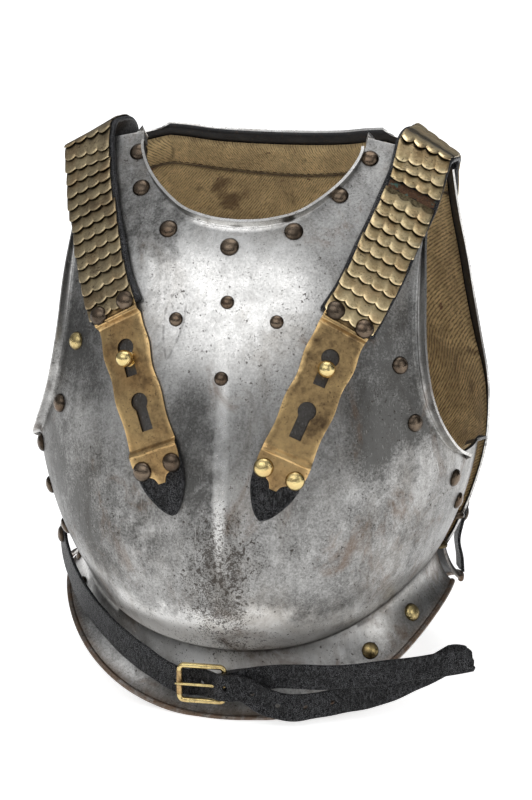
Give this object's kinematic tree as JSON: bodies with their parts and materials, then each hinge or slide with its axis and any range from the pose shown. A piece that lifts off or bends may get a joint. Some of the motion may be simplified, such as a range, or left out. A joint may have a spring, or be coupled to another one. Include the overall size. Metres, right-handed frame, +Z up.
{
  "type": "cavalry cuirass",
  "caption": "Steel breastplate and backplate with canvas linings, scaled brass shoulder straps hooked on studs, and a buckled leather waist belt.",
  "frame": {"origin": "under the middle of the part's whole reach, on the plane that its rims stand on", "axes": "+Z up, -Y the way the chest faces, +X the wearer's left"},
  "size_m": [0.381, 0.3166, 0.4499],
  "materials": {
    "plate_steel": "satin, worn and pitted",
    "aged_brass": "tarnished satin",
    "pale_brass": "rubbed satin",
    "bright_brass": "polished",
    "browned_bronze": "browned, half polished",
    "black_leather": "grained, dry",
    "canvas": "coarse twill, stained"
  },
  "bodies": {
    "shell": {"back_lining": "canvas", "backplate": "plate_steel", "belt_hip_tab": "black_leather", "breast_lining": "canvas", "breastplate": "plate_steel", "left_anchor_rivet": "browned_bronze", "left_hook_stud": "bright_brass", "left_rear_scales": "pale_brass", "left_rear_strap": "black_leather", "right_anchor_rivet": "browned_bronze", "right_hook_stud": "bright_brass", "right_rear_scales": "aged_brass", "right_rear_strap": "black_leather", "torn_stub": "black_leather"},
    "right_strap": {"right_hook_plate": "aged_brass", "right_lower_rivet_inner": "browned_bronze", "right_lower_rivet_outer": "browned_bronze", "right_pull_tab": "black_leather", "right_scale_01": "aged_brass", "right_scale_02": "aged_brass", "right_scale_03": "aged_brass", "right_scale_04": "aged_brass", "right_scale_05": "aged_brass", "right_scale_06": "aged_brass", "right_scale_07": "aged_brass", "right_scale_08": "aged_brass", "right_scale_09": "aged_brass", "right_scale_10": "aged_brass", "right_scale_11": "aged_brass", "right_scale_12": "aged_brass", "right_scale_13": "aged_brass", "right_scale_14": "aged_brass", "right_strap": "black_leather", "right_upper_rivet_inner": "browned_bronze", "right_upper_rivet_outer": "browned_bronze"},
    "left_strap": {"left_hook_plate": "aged_brass", "left_lower_rivet_inner": "bright_brass", "left_lower_rivet_outer": "bright_brass", "left_pull_tab": "black_leather", "left_scale_01": "pale_brass", "left_scale_02": "pale_brass", "left_scale_03": "pale_brass", "left_scale_04": "pale_brass", "left_scale_06": "pale_brass", "left_scale_07": "pale_brass", "left_scale_08": "pale_brass", "left_scale_09": "pale_brass", "left_scale_10": "pale_brass", "left_scale_11": "pale_brass", "left_scale_12": "pale_brass", "left_scale_13": "pale_brass", "left_scale_14": "pale_brass", "left_strap": "black_leather", "left_upper_rivet_inner": "browned_bronze", "left_upper_rivet_outer": "browned_bronze"},
    "belt": {"belt_billet": "black_leather", "belt_chape": "black_leather", "buckle_frame": "aged_brass"},
    "tongue": {"buckle_tongue": "aged_brass"}
  },
  "joints": [
    {"name": "right_strap_lift", "type": "hinge", "parent": "shell", "child": "right_strap", "pos_m": [-0.14131, 0.00787, 0.43906], "axis": [-0.8609, -0.0662, -0.5044], "range_deg": [0, 90]},
    {"name": "left_strap_lift", "type": "hinge", "parent": "shell", "child": "left_strap", "pos_m": [0.13486, 0.0078, 0.43907], "axis": [-0.861, 0.0659, 0.5043], "range_deg": [0, 90]},
    {"name": "belt_swing", "type": "hinge", "parent": "shell", "child": "belt", "pos_m": [-0.16027, -0.03081, 0.09535], "axis": [0, 0, -1], "range_deg": [0, 60]},
    {"name": "tongue_swing", "type": "hinge", "parent": "belt", "child": "tongue", "pos_m": [-0.00204, -0.14479, 0.0311], "axis": [0, 0, 1], "range_deg": [0, 8]}
  ]
}
